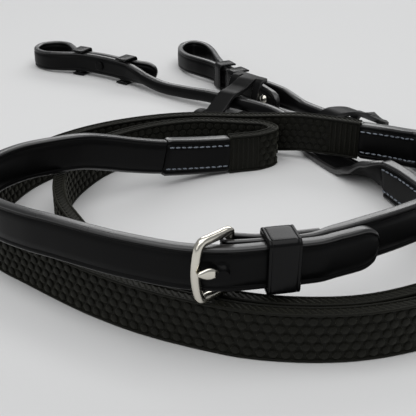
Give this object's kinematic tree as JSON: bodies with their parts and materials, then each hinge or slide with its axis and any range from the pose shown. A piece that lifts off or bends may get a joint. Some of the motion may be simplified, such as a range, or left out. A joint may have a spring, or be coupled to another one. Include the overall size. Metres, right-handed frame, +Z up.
{
  "type": "horse rein pair",
  "caption": "Rubber-grip riding reins joined by a centre buckle, laid in a loose coil on edge, with hook-stud billets and slit leather rein stops.",
  "frame": {"origin": "middle of the coil's outline seen from above, on the table", "axes": "+Z up from the table; +Y from the buckle side of the coil towards the billets; +X to the right seen from the buckle"},
  "size_m": [0.2365, 0.3518, 0.0449],
  "materials": {
    "black_leather": "smooth, creased edges, satin",
    "black_rubber": "matte, pimpled",
    "woven_web": "plain weave",
    "polished_steel": "polished"
  },
  "bodies": {
    "reins": {"hand_strap_tip_side": "black_leather", "hand_end_patch_tip_side": "black_leather", "bit_end_patch_tip_side": "black_leather", "bit_strap_tip_side": "black_leather", "hand_strap_buckle_side": "black_leather", "hand_end_patch_buckle_side": "black_leather", "bit_end_patch_buckle_side": "black_leather", "bit_strap_buckle_side": "black_leather", "rubber_grip_tip_side": "black_rubber", "rubber_grip_buckle_side": "black_rubber", "grip_core_tip_side": "woven_web", "grip_core_buckle_side": "woven_web", "hook_stud_tip_side": "polished_steel", "hook_stud_buckle_side": "polished_steel"},
    "buckle_frame": {"buckle_frame": "polished_steel"},
    "buckle_tongue": {"buckle_tongue": "polished_steel"},
    "centre_keeper": {"centre_keeper": "black_leather"},
    "loop_keeper_tip_side": {"loop_keeper_tip_side": "black_leather"},
    "tail_keeper_tip_side": {"tail_keeper_tip_side": "black_leather"},
    "rein_stop_tip_side": {"rein_stop_tip_side": "black_leather"},
    "loop_keeper_buckle_side": {"loop_keeper_buckle_side": "black_leather"},
    "tail_keeper_buckle_side": {"tail_keeper_buckle_side": "black_leather"},
    "rein_stop_buckle_side": {"rein_stop_buckle_side": "black_leather"}
  },
  "joints": [
    {"name": "buckle_frame_hinge", "type": "hinge", "parent": "reins", "child": "buckle_frame", "pos_m": [0.0078, -0.161, 0.0328], "axis": [0, 0, 1], "range_deg": [0, 10]},
    {"name": "buckle_tongue_hinge", "type": "hinge", "parent": "buckle_frame", "child": "buckle_tongue", "pos_m": [0.0078, -0.161, 0.0328], "axis": [0, 0, 1], "range_deg": [0, 6]},
    {"name": "centre_keeper_slide", "type": "slide", "parent": "reins", "child": "centre_keeper", "axis": [0.9806, 0.1961, 0], "range_m": [-0.002, 0.003]},
    {"name": "loop_keeper_tip_side_slide", "type": "slide", "parent": "reins", "child": "loop_keeper_tip_side", "axis": [0.8821, -0.4711, 0], "range_m": [-0.001, 0.003]},
    {"name": "tail_keeper_tip_side_slide", "type": "slide", "parent": "reins", "child": "tail_keeper_tip_side", "axis": [0.7828, -0.6222, 0], "range_m": [-0.003, 0.002]},
    {"name": "loop_keeper_buckle_side_slide", "type": "slide", "parent": "reins", "child": "loop_keeper_buckle_side", "axis": [0.4512, -0.8924, 0], "range_m": [-0.001, 0.002]},
    {"name": "tail_keeper_buckle_side_slide", "type": "slide", "parent": "reins", "child": "tail_keeper_buckle_side", "axis": [0.5524, -0.8336, 0], "range_m": [-0.001, 0.003]},
    {"name": "rein_stop_tip_side_slide", "type": "slide", "parent": "reins", "child": "rein_stop_tip_side", "axis": [0.8192, -0.5735, 0], "range_m": [-0.003, 0.001]},
    {"name": "rein_stop_buckle_side_slide", "type": "slide", "parent": "reins", "child": "rein_stop_buckle_side", "axis": [0.65, -0.76, 0], "range_m": [-0.004, 0.004]}
  ]
}
